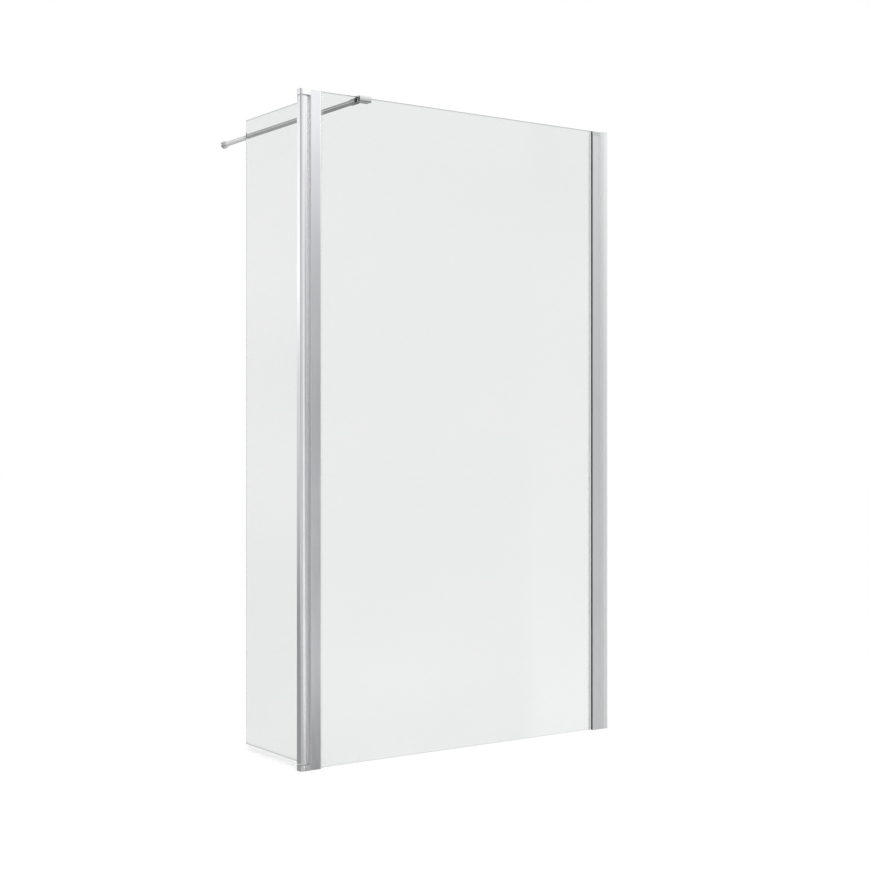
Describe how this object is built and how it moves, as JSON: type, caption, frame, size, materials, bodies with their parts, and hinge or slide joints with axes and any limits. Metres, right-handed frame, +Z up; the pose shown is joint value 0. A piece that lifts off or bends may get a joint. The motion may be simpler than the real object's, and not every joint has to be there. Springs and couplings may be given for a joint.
{
  "type": "hinged shower screen",
  "caption": "Walk-in shower screen: wide fixed pane on a wall channel, corner post with a hinged return pane, and a round brace bar to the side wall.",
  "frame": {"origin": "the hinge axis at floor level, on the underside of the bottom pivot lug", "axes": "+Z up along the hinge axis, +X along the fixed pane from the post to the wall, +Y to the shower side, along the folded-back return pane and the brace bar"},
  "size_m": [1.155, 0.873, 1.955],
  "materials": {
    "polished_aluminium": "bright anodised, chrome effect",
    "chromed_zinc": "chrome plated casting",
    "chromed_tube": "chrome plated tube",
    "stainless_steel": "stainless steel",
    "clear_glass": "clear toughened glass, polished edges",
    "clear_pvc": "clear flexible PVC",
    "dark_rubber": "dark grey rubber",
    "grey_plastic": "moulded grey plastic",
    "white_nylon": "plain white nylon"
  },
  "bodies": {
    "wall_side": {"wall_channel": "polished_aluminium", "wall_channel_cap": "chromed_zinc"},
    "main_panel": {"glazing_profile": "polished_aluminium", "glazing_cap_top": "grey_plastic", "glazing_cap_bottom": "grey_plastic", "wall_gasket_front": "dark_rubber", "wall_gasket_back": "dark_rubber", "lock_screws": "stainless_steel", "lock_washers": "stainless_steel", "main_glass": "clear_glass", "post_profile": "polished_aluminium", "post_gasket_front": "clear_pvc", "post_gasket_back": "clear_pvc", "post_seal": "clear_pvc", "top_pivot_lug": "chromed_zinc", "bottom_pivot_lug": "chromed_zinc", "lug_screws": "stainless_steel", "top_pivot_pin": "stainless_steel", "bottom_pivot_pin": "stainless_steel", "thrust_washer": "white_nylon", "bar_clamp": "chromed_zinc", "clamp_liner": "clear_pvc", "clamp_screws": "stainless_steel", "stabiliser_bar": "chromed_tube", "bar_wall_socket": "chromed_zinc", "bar_wall_plate": "stainless_steel", "bar_grub_screws": "stainless_steel"},
    "return_panel": {"return_profile": "polished_aluminium", "top_pivot_block": "grey_plastic", "bottom_pivot_block": "grey_plastic", "top_bush": "white_nylon", "bottom_bush": "white_nylon", "pivot_block_screws": "stainless_steel", "return_glass": "clear_glass", "return_gasket_outer": "clear_pvc", "return_gasket_inner": "clear_pvc", "bottom_seal": "clear_pvc"}
  },
  "joints": [
    {"name": "width_adjust", "type": "slide", "parent": "wall_side", "child": "main_panel", "axis": [1, 0, 0], "range_m": [-0.009, 0.009]},
    {"name": "return_hinge", "type": "hinge", "parent": "main_panel", "child": "return_panel", "pos_m": [0, 0, 0], "axis": [0, 0, 1], "range_deg": [-30, 90]}
  ]
}
